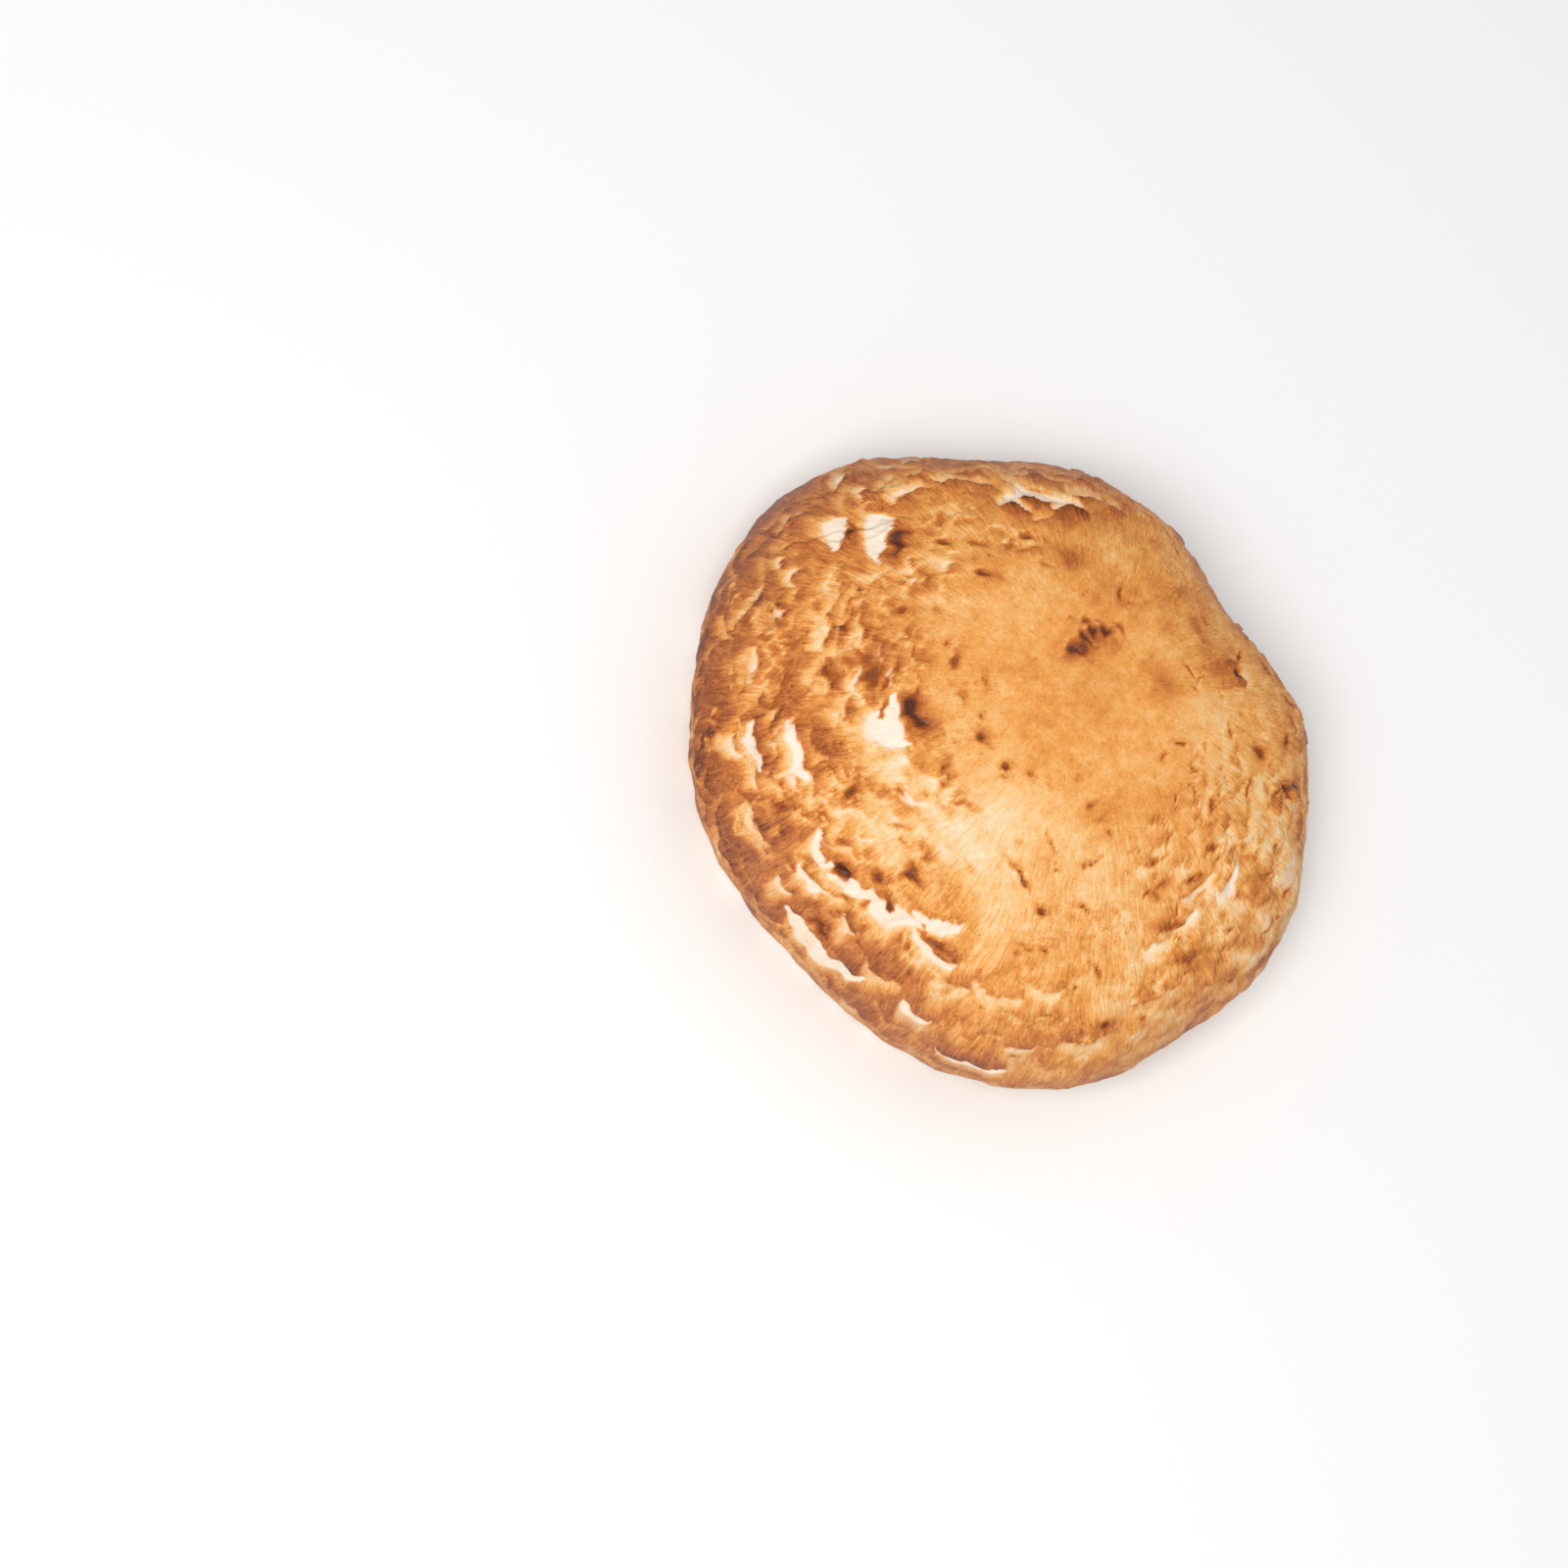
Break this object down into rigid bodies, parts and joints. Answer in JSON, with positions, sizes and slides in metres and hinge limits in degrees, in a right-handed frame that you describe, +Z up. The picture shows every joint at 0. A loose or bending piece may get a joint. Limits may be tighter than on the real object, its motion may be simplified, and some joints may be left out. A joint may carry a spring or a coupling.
{
  "type": "portobello mushroom",
  "caption": "Fresh portobello mushroom with a broad scaly tan cap, dark gills under it and a short trimmed stem, lying cap up on its rim.",
  "frame": {"origin": "under the middle of the cap's outline, on the surface that the rim lies on", "axes": "+Z up through the cap, +X and +Y level, with the stem's axis at positive X and positive Y of the origin"},
  "size_m": [0.1186, 0.1192, 0.038],
  "materials": {
    "cap_skin": "satin tan skin with torn scales and bare white flesh",
    "gill_flesh": "matte dark brown gills with paler edges",
    "stem_flesh": "matte peach-coloured cut flesh"
  },
  "bodies": {
    "root": {"cap": "cap_skin", "gills": "gill_flesh", "stem": "stem_flesh"}
  },
  "joints": []
}
